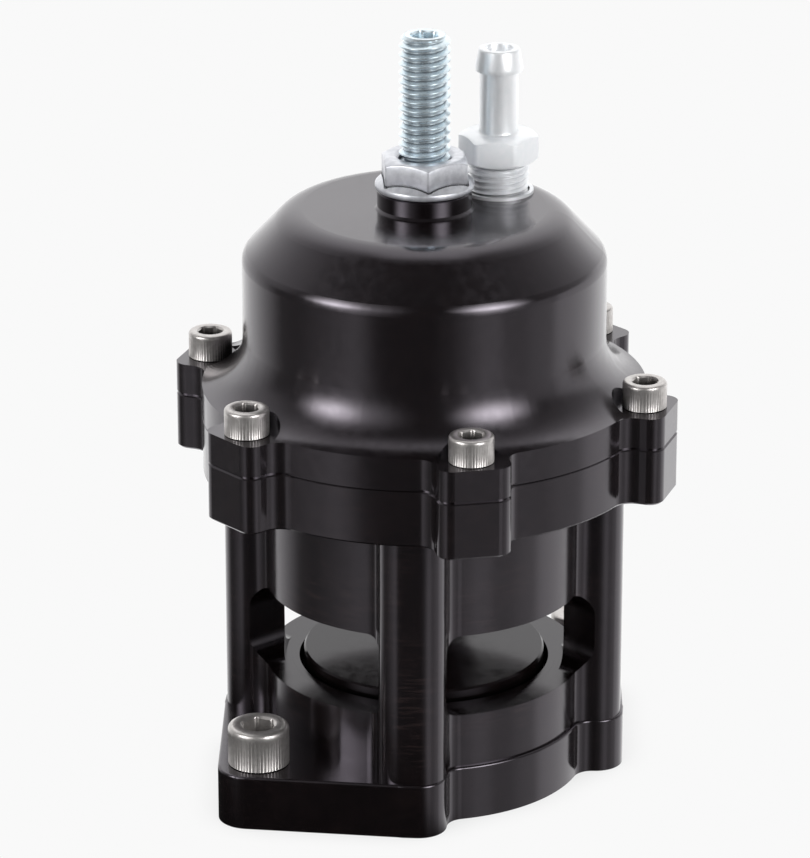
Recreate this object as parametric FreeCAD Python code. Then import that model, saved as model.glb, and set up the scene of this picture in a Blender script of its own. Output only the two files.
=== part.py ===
import FreeCAD, Part

import math
import os

from FreeCAD import Vector

# Bypass (blow-off) valve with a lobed billet body, a bell-shaped cap, a poppet valve worked by a
# diaphragm, and an adjuster screw. Millimetres, +Z up. The origin is the centre of the base face,
# and the four lobes of the body lie on the X and Y axes. Angles of places round the valve are in
# degrees from the front (-Y) towards the right (+X).

# Fits and edges
running_gap = 0.05        # radial gap of a sliding or screwed pair
loose_gap = 0.3           # gap of pieces that pass one another freely
edge_break = 0.3          # chamfer on machined outer edges
through = 1.0             # how far a cutting tool runs past the face it cuts
corner_cone_angle = 30.0  # turned chamfer of a hexagon's corners, from the face
corner_cone_share = 0.97  # of the width across flats, where that chamfer starts
head_crown_share = 0.12   # of the head's radius, chamfer at the top of a socket screw
head_foot_share = 0.06    # of the head's radius, chamfer under the head
head_socket_share = 0.5   # of the head's height, depth of the socket

# Heights of the body, from the base face up
base_thick = 8.75
window_floor_z = 17.35
window_height = 13.3
body_height = 58.5
body_flange_thick = 9.0

# Plan of the body
trunk_r = 25.0
lobe_count = 4
lobe_stand = 6.4          # how far a lobe's flat outside stands out past the trunk
lobe_half_width = 5.2
lobe_corner_r = 4.1
lobe_fillet_r = 3.0
base_step = 0.6           # how far the base stands out past the trunk
lobe_step = 0.45          # how far the base stands out past the lobes' flat outsides
lobe_side_step = 0.15     # the same past the lobes' sides
base_corner_r = 4.4
base_edge_r = 0.4         # rounding of the base's upper edge
window_half_width = 15.6
window_corner_r = 4.0

# Base ears and base screws (1/4 inch socket head)
base_screw_angles = (-45.0, 135.0)
base_screw_pcr = 34.1
base_ear_pcr = 36.0       # centre of the ear's rounded corner
base_ear_r = 4.9
base_screw_hole_r = 3.4
base_screw_r = 3.17
base_head_r = 4.76
base_head_height = 6.35
base_socket_af = 4.76
base_screw_reach = 8.0

# Bolted flange and its six ears (No. 8 socket-head screws)
rim_r = 34.6
ear_count = 6
ear_first_angle = -45.0
ear_stand = 5.35          # how far an ear's flat end stands out past the rim
ear_half_width = 5.65
ear_corner_r = 2.3
ear_fillet_r = 3.0
cap_screw_edge = 4.3      # from a cap screw's axis to the ear's flat end
cap_screw_hole_r = 2.25
cap_screw_r = 2.08
cap_head_r = 3.43
cap_head_height = 4.17
cap_socket_af = 3.57
cap_screw_reach = 12.7
spotface_r = 5.05

# Bell cap
cap_flange_thick = 5.1
flare_r = 8.0
dome_r = 28.2
dome_height = 33.4        # from the joint to the flat top
shoulder_angle = 47.0
shoulder_run = 6.9        # width of the sloped shoulder in plan
shoulder_top_r = 5.5
shoulder_side_r = 2.5
cap_wall = 3.8
cap_top_wall = 4.0
boss_r = 7.3
boss_height = 3.05
boss_fillet_r = 0.4

# Inlet, seat and window chamber
inlet_r = 17.0
inlet_chamfer = 0.5
seat_chamfer = 1.0
seat_pocket_r = 20.6
valve_r = 19.05
valve_thick = 4.2
valve_rise = 1.75         # how far the closed valve stands above the window floor
chamber_r = 22.2
chamber_height = 15.65    # from the window floor to the partition
partition_thick = 4.0
upper_chamber_r = 21.5
guide_boss_r = 7.2
guide_plate_gap = 5.5     # from the stem bush up to the lower plate of the closed valve
plate_room_r = 26.5
plate_room_depth = 6.5
base_groove_in_r = 19.4
base_groove_width = 2.6
base_groove_depth = 2.1
base_ring_wire_r = 1.0

# Stem, guide bush and stem seal
stem_r = 3.0
stem_thread_r = 2.4
bush_r = 5.0
bush_flange_r = 6.6
bush_flange_thick = 1.2
seal_wire_r = 0.99
seal_lip = 1.2            # body metal under the stem seal
stem_seat_depth = 1.0     # how far the stem is let into the valve

# Seal in the valve's underside, and the screw that holds the valve on its stem
face_seal_r = 18.1
face_seal_width = 1.0
face_seal_depth = 1.2
valve_screw_head_r = 4.2
valve_screw_r = 2.0
valve_screw_reach = 8.0
valve_screw_socket_af = 2.5

# Diaphragm and its plates
diaphragm_thick = 0.8
diaphragm_r = 31.0
diaphragm_loop_mean_r = 22.9
diaphragm_loop_r = 2.5
plate_r = 18.6
plate_thick = 2.0
plate_edge_r = 0.9
pilot_out_r = 9.0
pilot_in_r = 8.0
pilot_height = 1.8
plate_nut_af = 8.0
plate_nut_height = 3.2
stem_above_nut = 0.6

# Spring and its upper seat
spring_wire_r = 0.9
spring_mean_r = 10.2
spring_turns = 4.5
seat_plate_r = 12.4
seat_plate_thick = 2.2
seat_pilot_r = 8.9
seat_pilot_height = 1.8
seat_dimple_depth = 0.6

# Adjuster screw and its flanged lock nut (5/16 inch)
stud_r = 3.97
stud_length = 34.9
stud_above_nut = 19.0
stud_chamfer = 0.8
stud_socket_af = 3.97
stud_socket_depth = 5.5
nut_af = 12.7
nut_height = 5.4
nut_flange_r = 7.65
nut_rim_height = 1.1
nut_cone_height = 0.85
nut_angle = 8.5           # where a corner of the hexagon points

# Vacuum fitting (hose barb) in the top of the cap
port_radius = 14.0        # distance of the port from the valve's axis
port_angle = 129.0
fitting_thread_r = 4.85
fitting_taper = 0.15
fitting_thread_length = 5.0
fitting_reach = 3.6       # how far the thread goes into the cap
fitting_hex_af = 11.11
fitting_hex_height = 4.6
fitting_hex_angle = -2.0
fitting_tube_r = 3.0
fitting_tube_length = 9.9
barb_r = 3.7
barb_land = 0.7
barb_tip_r = 3.15
barb_length = 2.9
fitting_bore_r = 2.1
port_ring_r = 5.5
port_ring_thick = 0.5

# Sizes that follow from the ones above
lobe_reach = trunk_r + lobe_stand
ear_reach = rim_r + ear_stand
cap_screw_pcr = ear_reach - cap_screw_edge
seat_z = window_floor_z + valve_rise - valve_thick
valve_top_z = window_floor_z + valve_rise
stem_floor_z = valve_top_z - stem_seat_depth
chamber_top_z = window_floor_z + chamber_height
seal_floor_z = chamber_top_z + seal_lip
bush_floor_z = seal_floor_z + 2 * seal_wire_r + running_gap
partition_top_z = chamber_top_z + partition_thick
plate_room_z = body_height - plate_room_depth
body_flange_z = body_height - body_flange_thick
ear_top_z = body_height + cap_flange_thick
dome_top_z = body_height + dome_height
cap_ceiling_z = dome_top_z - cap_top_wall
cap_bore_r = dome_r - cap_wall
boss_top_z = dome_top_z + boss_height
nut_top_z = boss_top_z + nut_height
stud_top_z = nut_top_z + stud_above_nut
stud_tip_z = stud_top_z - stud_length
diaphragm_z = body_height - diaphragm_thick
lower_plate_z = diaphragm_z - plate_thick
guide_top_z = lower_plate_z - guide_plate_gap - bush_flange_thick
upper_plate_z = body_height
upper_plate_top_z = upper_plate_z + plate_thick
stem_top_z = upper_plate_top_z + plate_nut_height + stem_above_nut
seat_plate_z = stud_tip_z + seat_dimple_depth - seat_plate_thick
port_x = port_radius * math.sin(math.radians(port_angle))
port_y = -port_radius * math.cos(math.radians(port_angle))
up = Vector(0, 0, 1)


def polar(radius, angle, z=0.0):
    """Point at an angle in degrees from the front (-Y) towards the right (+X)."""
    turn = math.radians(angle)
    return Vector(radius * math.sin(turn), -radius * math.cos(turn), z)


def cylinder(radius, z_low, z_high, centre=Vector(0, 0, 0)):
    return Part.makeCylinder(radius, z_high - z_low, Vector(centre.x, centre.y, z_low))


def cone(r_low, r_high, z_low, z_high, centre=Vector(0, 0, 0)):
    return Part.makeCone(r_low, r_high, z_high - z_low, Vector(centre.x, centre.y, z_low))


def turned(points, centre=Vector(0, 0, 0)):
    """Solid turned from a closed outline of (radius, z) points."""
    corners = [Vector(radius, 0, z) for radius, z in points]
    face = Part.Face(Part.makePolygon(corners + corners[:1]))
    solid = face.revolve(Vector(0, 0, 0), up, 360)
    solid.translate(Vector(centre.x, centre.y, 0))
    return solid


def turned_edges(edges):
    """Solid turned from a closed outline of edges that lie in the XZ plane."""
    face = Part.Face(Part.Wire(edges))
    return face.revolve(Vector(0, 0, 0), up, 360)


def line(start, end):
    return Part.LineSegment(start, end).toShape()


def arc_about(centre, radius, start_angle, end_angle, place):
    """Arc through three points of a circle; place(x, y) maps the drawing plane to space."""
    points = []
    for angle in (start_angle, (start_angle + end_angle) / 2, end_angle):
        points.append(place(centre[0] + radius * math.cos(angle), centre[1] + radius * math.sin(angle)))
    return Part.Arc(*points).toShape()


def hexagon(across_flats, z_low, z_high, corner_angle, centre=Vector(0, 0, 0)):
    """Hexagonal bar with one corner at corner_angle."""
    corner_r = across_flats / math.sqrt(3)
    corners = []
    for index in range(7):
        corners.append(centre + polar(corner_r, corner_angle + 60 * index, z_low))
    return Part.Face(Part.makePolygon(corners)).extrude(Vector(0, 0, z_high - z_low))


def ribbed_outline(core_r, reach, half_width, corner_r, fillet_r, angles, z):
    """Closed wire round a disc of core_r with radial ribs at the given angles.

    Each rib has parallel flanks, a flat end at reach with rounded corners, and concave fillets
    where it meets the disc.
    """
    fillet_x = math.sqrt((core_r + fillet_r) ** 2 - (half_width + fillet_r) ** 2)
    fillet_turn = math.atan2(half_width + fillet_r, fillet_x)
    corner_x = reach - corner_r
    corner_y = half_width - corner_r
    quarter = math.pi / 2
    edges = []
    for index, angle in enumerate(angles):
        heading = math.radians(angle - 90)

        def place(x, y, heading=heading):
            c, s = math.cos(heading), math.sin(heading)
            return Vector(x * c - y * s, x * s + y * c, z)

        following = angles[(index + 1) % len(angles)]
        gap = math.radians((following - angle) % 360)
        edges.append(arc_about((fillet_x, -half_width - fillet_r), fillet_r,
                               math.pi - fillet_turn, quarter, place))
        edges.append(line(place(fillet_x, -half_width), place(corner_x, -half_width)))
        edges.append(arc_about((corner_x, -corner_y), corner_r, -quarter, 0, place))
        edges.append(line(place(reach, -corner_y), place(reach, corner_y)))
        edges.append(arc_about((corner_x, corner_y), corner_r, 0, quarter, place))
        edges.append(line(place(corner_x, half_width), place(fillet_x, half_width)))
        edges.append(arc_about((fillet_x, half_width + fillet_r), fillet_r,
                               -quarter, fillet_turn - math.pi, place))
        edges.append(arc_about((0, 0), core_r, fillet_turn, gap - fillet_turn, place))
    return Part.Wire(edges)


def plate_of(wire, height):
    return Part.Face(wire).extrude(Vector(0, 0, height))


def edges_at(solid, z):
    """Outer edges of a plate that lie at height z."""
    edges = []
    for edge in solid.Edges:
        box = edge.BoundBox
        if abs(box.ZMin - z) < 1e-6 and abs(box.ZMax - z) < 1e-6:
            edges.append(edge)
    return edges


def broken_edges(solid, z):
    """Chamfer the outer edges of a plate that lie at height z."""
    return solid.makeChamfer(edge_break, edges_at(solid, z))


def ear_angles():
    return [ear_first_angle + 360 / ear_count * index for index in range(ear_count)]


def lobe_angles():
    return [360 / lobe_count * index for index in range(lobe_count)]


def window_angles():
    return [angle + 180 / lobe_count for angle in lobe_angles()]


def base_ear(angle):
    """Solid between two lobes with a rounded corner outside the base screw."""
    corner = polar(base_ear_pcr, angle)
    reach = lobe_reach + lobe_step
    left = polar(reach, angle - 45)
    right = polar(reach, angle + 45)
    edges = []
    tangents = []
    for side, lobe_point in ((1, left), (-1, right)):
        gap = corner - lobe_point
        slope = math.atan2(gap.y, gap.x)
        lean = side * math.acos(base_ear_r / gap.Length)
        direction = slope + math.pi + lean
        tangents.append(corner + Vector(base_ear_r * math.cos(direction),
                                        base_ear_r * math.sin(direction), 0))
    tip = polar(base_ear_pcr + base_ear_r, angle)
    edges.append(line(Vector(0, 0, 0), left))
    edges.append(line(left, tangents[0]))
    edges.append(Part.Arc(tangents[0], tip, tangents[1]).toShape())
    edges.append(line(tangents[1], right))
    edges.append(line(right, Vector(0, 0, 0)))
    return Part.Face(Part.Wire(edges)).extrude(Vector(0, 0, base_thick))


def window_cutter(angle):
    """Slot with rounded corners that runs straight out along the given angle."""
    low = window_floor_z
    high = window_floor_z + window_height
    heading = math.radians(angle - 90)
    reach = rim_r + through

    def place(across, z):
        c, s = math.cos(heading), math.sin(heading)
        return Vector(-across * s, across * c, z)

    w, r = window_half_width, window_corner_r
    edges = []
    corners = (((w - r, low + r), -math.pi / 2), ((w - r, high - r), 0.0),
               ((r - w, high - r), math.pi / 2), ((r - w, low + r), math.pi))
    for index, (centre, start) in enumerate(corners):
        edges.append(arc_about(centre, r, start, start + math.pi / 2, place))
        following, next_start = corners[(index + 1) % 4]
        leave = start + math.pi / 2
        edges.append(line(place(centre[0] + r * math.cos(leave), centre[1] + r * math.sin(leave)),
                          place(following[0] + r * math.cos(next_start),
                                following[1] + r * math.sin(next_start))))
    return Part.Face(Part.Wire(edges)).extrude(polar(reach, angle))


def make_lower_body():
    trunk = plate_of(ribbed_outline(trunk_r, lobe_reach, lobe_half_width, lobe_corner_r, lobe_fillet_r,
                                    lobe_angles(), 0), body_flange_z + through)
    base = plate_of(ribbed_outline(trunk_r + base_step, lobe_reach + lobe_step,
                                   lobe_half_width + lobe_side_step, base_corner_r, lobe_fillet_r,
                                   lobe_angles(), 0), base_thick)
    for angle in base_screw_angles:
        base = base.fuse(base_ear(angle))
    base = base.removeSplitter()
    base = base.makeFillet(base_edge_r, edges_at(base, base_thick))
    flange = plate_of(flange_outline(body_flange_z), body_flange_thick)
    flange = broken_edges(flange, body_flange_z)
    flange = broken_edges(flange, body_height)
    body = base.fuse([trunk, flange]).removeSplitter()
    body = body.cut(turned(body_bore_outline()))
    for angle in window_angles():
        body = body.cut(window_cutter(angle))
    holes = []
    for angle in ear_angles():
        holes.append(cylinder(cap_screw_r + running_gap, body_flange_z - through, body_height + through,
                              polar(cap_screw_pcr, angle)))
    for angle in base_screw_angles:
        holes.append(cylinder(base_screw_hole_r, -through, base_thick + through,
                              polar(base_screw_pcr, angle)))
    body = body.cut(holes)
    groove = cylinder(base_groove_in_r + base_groove_width, -through, base_groove_depth)
    groove = groove.cut(cylinder(base_groove_in_r, -2 * through, base_groove_depth + through))
    return body.cut(groove)


def body_bore_outline():
    """Everything bored out of the body from below and from above, as one turned outline."""
    bush_hole_r = bush_r + running_gap
    stem_hole_r = stem_r + loose_gap
    return [(0, -through), (inlet_r + inlet_chamfer, -through), (inlet_r + inlet_chamfer, 0),
            (inlet_r, inlet_chamfer), (inlet_r, seat_z - seat_chamfer),
            (inlet_r + seat_chamfer / 2, seat_z), (seat_pocket_r, seat_z),
            (seat_pocket_r, window_floor_z), (chamber_r, window_floor_z),
            (chamber_r, chamber_top_z), (stem_hole_r, chamber_top_z),
            (stem_hole_r, seal_floor_z), (bush_hole_r, seal_floor_z), (bush_hole_r, guide_top_z),
            (guide_boss_r, guide_top_z), (guide_boss_r, partition_top_z),
            (upper_chamber_r, partition_top_z), (upper_chamber_r, plate_room_z),
            (plate_room_r, plate_room_z), (plate_room_r, diaphragm_z),
            (diaphragm_r + running_gap, diaphragm_z),
            (diaphragm_r + running_gap, body_height + through), (0, body_height + through)]


def flange_outline(z):
    return ribbed_outline(rim_r, ear_reach, ear_half_width, ear_corner_r, ear_fillet_r, ear_angles(), z)


def dome_outline():
    """Outline of the bell: flange side, concave flare, wall, sloped shoulder and flat top."""
    def place(x, z):
        return Vector(x, 0, z)

    slope = math.radians(shoulder_angle)
    flare_x = dome_r + flare_r
    flare_end = math.acos((flare_x - rim_r) / flare_r)
    flare_z = ear_top_z + flare_r * math.sin(flare_end)
    top_x = dome_r - shoulder_run
    low_z = dome_top_z - shoulder_run * math.tan(slope)
    top_cut = shoulder_top_r * math.tan(slope / 2)
    side_cut = shoulder_side_r * math.tan((math.pi / 2 - slope) / 2)
    side_z = low_z - side_cut
    steep = math.pi / 2 - slope
    edges = [line(place(0, body_height), place(rim_r, body_height)),
             line(place(rim_r, body_height), place(rim_r, ear_top_z)),
             arc_about((flare_x, flare_z), flare_r, math.pi + flare_end, math.pi, place),
             line(place(dome_r, flare_z), place(dome_r, side_z)),
             arc_about((dome_r - shoulder_side_r, side_z), shoulder_side_r, 0, steep, place)]
    slope_low = place(dome_r - shoulder_side_r * (1 - math.cos(steep)),
                      side_z + shoulder_side_r * math.sin(steep))
    slope_high = place(top_x - top_cut + shoulder_top_r * math.cos(steep),
                       dome_top_z - shoulder_top_r * (1 - math.sin(steep)))
    edges.append(line(slope_low, slope_high))
    edges.append(arc_about((top_x - top_cut, dome_top_z - shoulder_top_r), shoulder_top_r,
                           steep, math.pi / 2, place))
    edges.append(line(place(top_x - top_cut, dome_top_z), place(0, dome_top_z)))
    edges.append(line(place(0, dome_top_z), place(0, body_height)))
    return edges


def make_bell_cap():
    flange = plate_of(flange_outline(body_height), cap_flange_thick)
    flange = broken_edges(flange, body_height)
    cap = flange.fuse(turned_edges(dome_outline()))
    boss = turned([(0, dome_top_z - through), (boss_r + boss_fillet_r, dome_top_z - through),
                   (boss_r + boss_fillet_r, dome_top_z), (boss_r, dome_top_z + boss_fillet_r),
                   (boss_r, boss_top_z - edge_break), (boss_r - edge_break, boss_top_z), (0, boss_top_z)])
    cap = cap.fuse(boss)
    inner_drop = shoulder_run * math.tan(math.radians(shoulder_angle))
    cavity = turned([(0, body_height - through), (cap_bore_r, body_height - through),
                     (cap_bore_r, cap_ceiling_z - inner_drop), (cap_bore_r - shoulder_run, cap_ceiling_z),
                     (0, cap_ceiling_z)])
    cap = cap.cut(cavity)
    cutters = [cylinder(stud_r + running_gap, cap_ceiling_z - through, boss_top_z + through)]
    cutters.append(cylinder(fitting_thread_r + running_gap, cap_ceiling_z - through, dome_top_z + through,
                            Vector(port_x, port_y, 0)))
    for angle in ear_angles():
        centre = polar(cap_screw_pcr, angle)
        cutters.append(cylinder(cap_screw_hole_r, body_height - through, ear_top_z + through, centre))
        cutters.append(cylinder(spotface_r, ear_top_z, dome_top_z, centre))
    return cap.cut(cutters)


def make_socket_screw(head_r, head_height, shank_r, reach, socket_af, seat_height, centre):
    """Socket-head screw whose head sits on seat_height and whose shank points down."""
    top = seat_height + head_height
    crown = head_r * head_crown_share
    foot = head_r * head_foot_share
    screw = turned([(0, seat_height - reach), (shank_r - edge_break, seat_height - reach),
                    (shank_r, seat_height - reach + edge_break), (shank_r, seat_height),
                    (head_r - foot, seat_height), (head_r, seat_height + foot), (head_r, top - crown),
                    (head_r - crown, top), (0, top)], centre)
    socket = hexagon(socket_af, top - head_height * head_socket_share, top + through, 0, centre)
    return screw.cut(socket)


def ring_seal(mean_r, wire_r, z):
    return Part.makeTorus(mean_r, wire_r, Vector(0, 0, z))


def make_valve_disc():
    groove_in = face_seal_r - face_seal_width / 2
    groove_out = face_seal_r + face_seal_width / 2
    screw_hole_r = valve_screw_r + running_gap
    sink_top = seat_z + valve_screw_head_r - valve_screw_r
    return turned([(stem_r + running_gap, valve_top_z), (stem_r + running_gap, stem_floor_z),
                   (screw_hole_r, stem_floor_z), (screw_hole_r, sink_top),
                   (valve_screw_head_r + running_gap, seat_z), (groove_in, seat_z),
                   (groove_in, seat_z + face_seal_depth), (groove_out, seat_z + face_seal_depth),
                   (groove_out, seat_z), (valve_r - edge_break, seat_z), (valve_r, seat_z + edge_break),
                   (valve_r, valve_top_z - edge_break), (valve_r - edge_break, valve_top_z)])


def make_face_seal():
    inner = face_seal_r - face_seal_width / 2
    outer = face_seal_r + face_seal_width / 2
    return cylinder(outer, seat_z, seat_z + face_seal_depth).cut(
        cylinder(inner, seat_z - through, seat_z + face_seal_depth + through))


def make_valve_screw():
    """Countersunk screw, flush with the underside of the valve."""
    shank_z = seat_z + valve_screw_head_r - valve_screw_r
    tip_z = seat_z + valve_screw_reach
    screw = turned([(0, seat_z), (valve_screw_head_r, seat_z), (valve_screw_r, shank_z),
                    (valve_screw_r, tip_z - edge_break), (valve_screw_r - edge_break, tip_z), (0, tip_z)])
    socket = hexagon(valve_screw_socket_af, seat_z - through, seat_z + valve_screw_r, 0)
    return screw.cut(socket)


def make_valve_stem():
    stem = turned([(0, stem_floor_z), (stem_r, stem_floor_z), (stem_r, lower_plate_z),
                   (stem_thread_r, lower_plate_z), (stem_thread_r, stem_top_z - edge_break),
                   (stem_thread_r - edge_break, stem_top_z), (0, stem_top_z)])
    return stem.cut(cylinder(valve_screw_r + running_gap, stem_floor_z - through,
                             seat_z + valve_screw_reach + loose_gap))


def make_stem_bush():
    bore = stem_r + running_gap
    return turned([(bore, bush_floor_z), (bush_r, bush_floor_z), (bush_r, guide_top_z),
                   (bush_flange_r, guide_top_z), (bush_flange_r, guide_top_z + bush_flange_thick),
                   (bore, guide_top_z + bush_flange_thick)])


def make_lower_plate():
    bore = stem_thread_r + running_gap
    return turned([(bore, lower_plate_z), (plate_r - plate_edge_r, lower_plate_z),
                   (plate_r, lower_plate_z + plate_edge_r), (plate_r, diaphragm_z), (bore, diaphragm_z)])


def make_upper_plate():
    bore = stem_thread_r + running_gap
    top = upper_plate_top_z
    return turned([(bore, upper_plate_z), (plate_r, upper_plate_z), (plate_r, top - plate_edge_r),
                   (plate_r - plate_edge_r, top), (pilot_out_r, top), (pilot_out_r, top + pilot_height),
                   (pilot_in_r, top + pilot_height), (pilot_in_r, top), (bore, top)])


def make_diaphragm():
    """Flat rubber disc with one rounded loop between its clamped rim and the plates."""
    def place(x, z):
        return Vector(x, 0, z)

    bore = stem_thread_r + running_gap
    under_r = diaphragm_loop_r + diaphragm_thick
    under_x = math.sqrt(under_r ** 2 - diaphragm_thick ** 2)
    under_turn = math.asin(diaphragm_thick / under_r)
    mean = diaphragm_loop_mean_r
    high, low = body_height, diaphragm_z
    edges = [line(place(bore, low), place(mean - under_x, low)),
             arc_about((mean, high), under_r, math.pi + under_turn, 2 * math.pi - under_turn, place),
             line(place(mean + under_x, low), place(diaphragm_r, low)),
             line(place(diaphragm_r, low), place(diaphragm_r, high)),
             line(place(diaphragm_r, high), place(mean + diaphragm_loop_r, high)),
             arc_about((mean, high), diaphragm_loop_r, 2 * math.pi, math.pi, place),
             line(place(mean - diaphragm_loop_r, high), place(bore, high)),
             line(place(bore, high), place(bore, low))]
    return turned_edges(edges)


def make_plate_nut():
    nut = hexagon(plate_nut_af, upper_plate_top_z, upper_plate_top_z + plate_nut_height, 0)
    return nut.cut(cylinder(stem_thread_r + running_gap, upper_plate_top_z - through,
                            stem_top_z + through))


def make_main_spring():
    """Round wire wound on a helix between the upper plate and the spring seat."""
    low = upper_plate_top_z + spring_wire_r + running_gap
    high = seat_plate_z - spring_wire_r - running_gap
    helix = Part.makeHelix((high - low) / spring_turns, high - low, spring_mean_r)
    helix.translate(Vector(0, 0, low))
    start = Vector(spring_mean_r, 0, low)
    rise = (high - low) / spring_turns / (2 * math.pi)
    wire_circle = Part.Wire(Part.makeCircle(spring_wire_r, start, Vector(0, spring_mean_r, rise)))
    return Part.Wire(helix).makePipeShell([wire_circle], True, True)


def make_spring_seat():
    top = seat_plate_z + seat_plate_thick
    foot = seat_plate_z - seat_pilot_height
    dimple_r = stud_r + loose_gap
    return turned([(0, foot), (seat_pilot_r - edge_break, foot), (seat_pilot_r, foot + edge_break),
                   (seat_pilot_r, seat_plate_z), (seat_plate_r, seat_plate_z),
                   (seat_plate_r, top - edge_break), (seat_plate_r - edge_break, top),
                   (dimple_r, top), (dimple_r, stud_tip_z), (0, stud_tip_z)])


def make_adjuster_stud():
    stud = turned([(0, stud_tip_z), (stud_r - stud_chamfer, stud_tip_z), (stud_r, stud_tip_z + stud_chamfer),
                   (stud_r, stud_top_z - stud_chamfer), (stud_r - stud_chamfer, stud_top_z),
                   (0, stud_top_z)])
    return stud.cut(hexagon(stud_socket_af, stud_top_z - stud_socket_depth, stud_top_z + through, 0))


def chamfered_hexagon(across_flats, z_low, z_high, corner_angle, centre=Vector(0, 0, 0), both=False):
    """Hexagon whose corners are turned off by a cone at the top, or at both ends."""
    corner_r = across_flats / math.sqrt(3)
    flat_r = across_flats / 2 * corner_cone_share
    drop = (corner_r - flat_r) * math.tan(math.radians(corner_cone_angle))
    outline = [(0, z_low), (corner_r, z_low), (corner_r, z_high - drop), (flat_r, z_high), (0, z_high)]
    if both:
        outline[1:2] = [(flat_r, z_low), (corner_r, z_low + drop)]
    return hexagon(across_flats, z_low, z_high, corner_angle, centre).common(turned(outline, centre))


def make_lock_nut():
    """Hexagon nut with a flange: a short rim and a sloped top."""
    rim_top = boss_top_z + nut_rim_height
    flange = turned([(0, boss_top_z), (nut_flange_r - edge_break, boss_top_z),
                     (nut_flange_r, boss_top_z + edge_break), (nut_flange_r, rim_top),
                     (nut_af / 2, rim_top + nut_cone_height), (0, rim_top + nut_cone_height)])
    nut = chamfered_hexagon(nut_af, boss_top_z + edge_break, nut_top_z, nut_angle).fuse(flange)
    hole = cylinder(stud_r + running_gap, boss_top_z - through, nut_top_z + through)
    mouth = cone(stud_r + running_gap, stud_r + running_gap + edge_break + through,
                 nut_top_z - edge_break, nut_top_z + through)
    return nut.cut(hole).cut(mouth)


def make_vacuum_fitting():
    """Barbed hose fitting: tapered thread, hexagon, tube and one barb, bored right through."""
    centre = Vector(port_x, port_y, 0)
    foot = dome_top_z - fitting_reach
    hex_low = dome_top_z + fitting_thread_length
    hex_high = hex_low + fitting_hex_height
    tube_top = hex_high + fitting_tube_length
    tip = tube_top + barb_land + barb_length
    body = turned([(0, foot), (fitting_thread_r - fitting_taper, foot), (fitting_thread_r, dome_top_z),
                   (fitting_thread_r, hex_low), (fitting_tube_r, hex_low),
                   (fitting_tube_r, tube_top), (barb_r, tube_top), (barb_r, tube_top + barb_land),
                   (barb_tip_r, tip), (0, tip)], centre)
    collar = chamfered_hexagon(fitting_hex_af, hex_low, hex_high, fitting_hex_angle + 30, centre, both=True)
    return body.fuse(collar).cut(cylinder(fitting_bore_r, foot - through, tip + through, centre))


def make_port_ring():
    centre = Vector(port_x, port_y, 0)
    ring = cylinder(port_ring_r, dome_top_z, dome_top_z + port_ring_thick, centre)
    return ring.cut(cylinder(fitting_thread_r + running_gap, dome_top_z - through,
                             dome_top_z + port_ring_thick + through, centre))


def main():
    pieces = {}
    pieces["lower_body"] = make_lower_body()
    pieces["bell_cap"] = make_bell_cap()
    pieces["base_ring_seal"] = ring_seal(base_groove_in_r + base_groove_width / 2, base_ring_wire_r,
                                         base_groove_depth - base_ring_wire_r)
    pieces["stem_bush"] = make_stem_bush()
    pieces["stem_seal"] = ring_seal(bush_r - seal_wire_r + running_gap / 2, seal_wire_r,
                                    seal_floor_z + seal_wire_r)
    pieces["valve_disc"] = make_valve_disc()
    pieces["face_seal"] = make_face_seal()
    pieces["valve_screw"] = make_valve_screw()
    pieces["valve_stem"] = make_valve_stem()
    pieces["lower_plate"] = make_lower_plate()
    pieces["diaphragm"] = make_diaphragm()
    pieces["upper_plate"] = make_upper_plate()
    pieces["plate_nut"] = make_plate_nut()
    pieces["main_spring"] = make_main_spring()
    pieces["spring_seat"] = make_spring_seat()
    pieces["adjuster_stud"] = make_adjuster_stud()
    pieces["lock_nut"] = make_lock_nut()
    pieces["vacuum_fitting"] = make_vacuum_fitting()
    pieces["port_ring"] = make_port_ring()
    for index, angle in enumerate(ear_angles()):
        pieces["cap_screw_%d" % (index + 1)] = make_socket_screw(
            cap_head_r, cap_head_height, cap_screw_r, cap_screw_reach, cap_socket_af, ear_top_z,
            polar(cap_screw_pcr, angle))
    for index, angle in enumerate(base_screw_angles):
        pieces["base_screw_%d" % (index + 1)] = make_socket_screw(
            base_head_r, base_head_height, base_screw_r, base_screw_reach, base_socket_af, base_thick,
            polar(base_screw_pcr, angle))
    os.makedirs("parts", exist_ok=True)
    for name, shape in pieces.items():
        print(name, shape.isValid(), len(shape.Solids), round(shape.Volume, 1))
        shape.exportStep("parts/%s.step" % name)


main()
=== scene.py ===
import math

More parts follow.
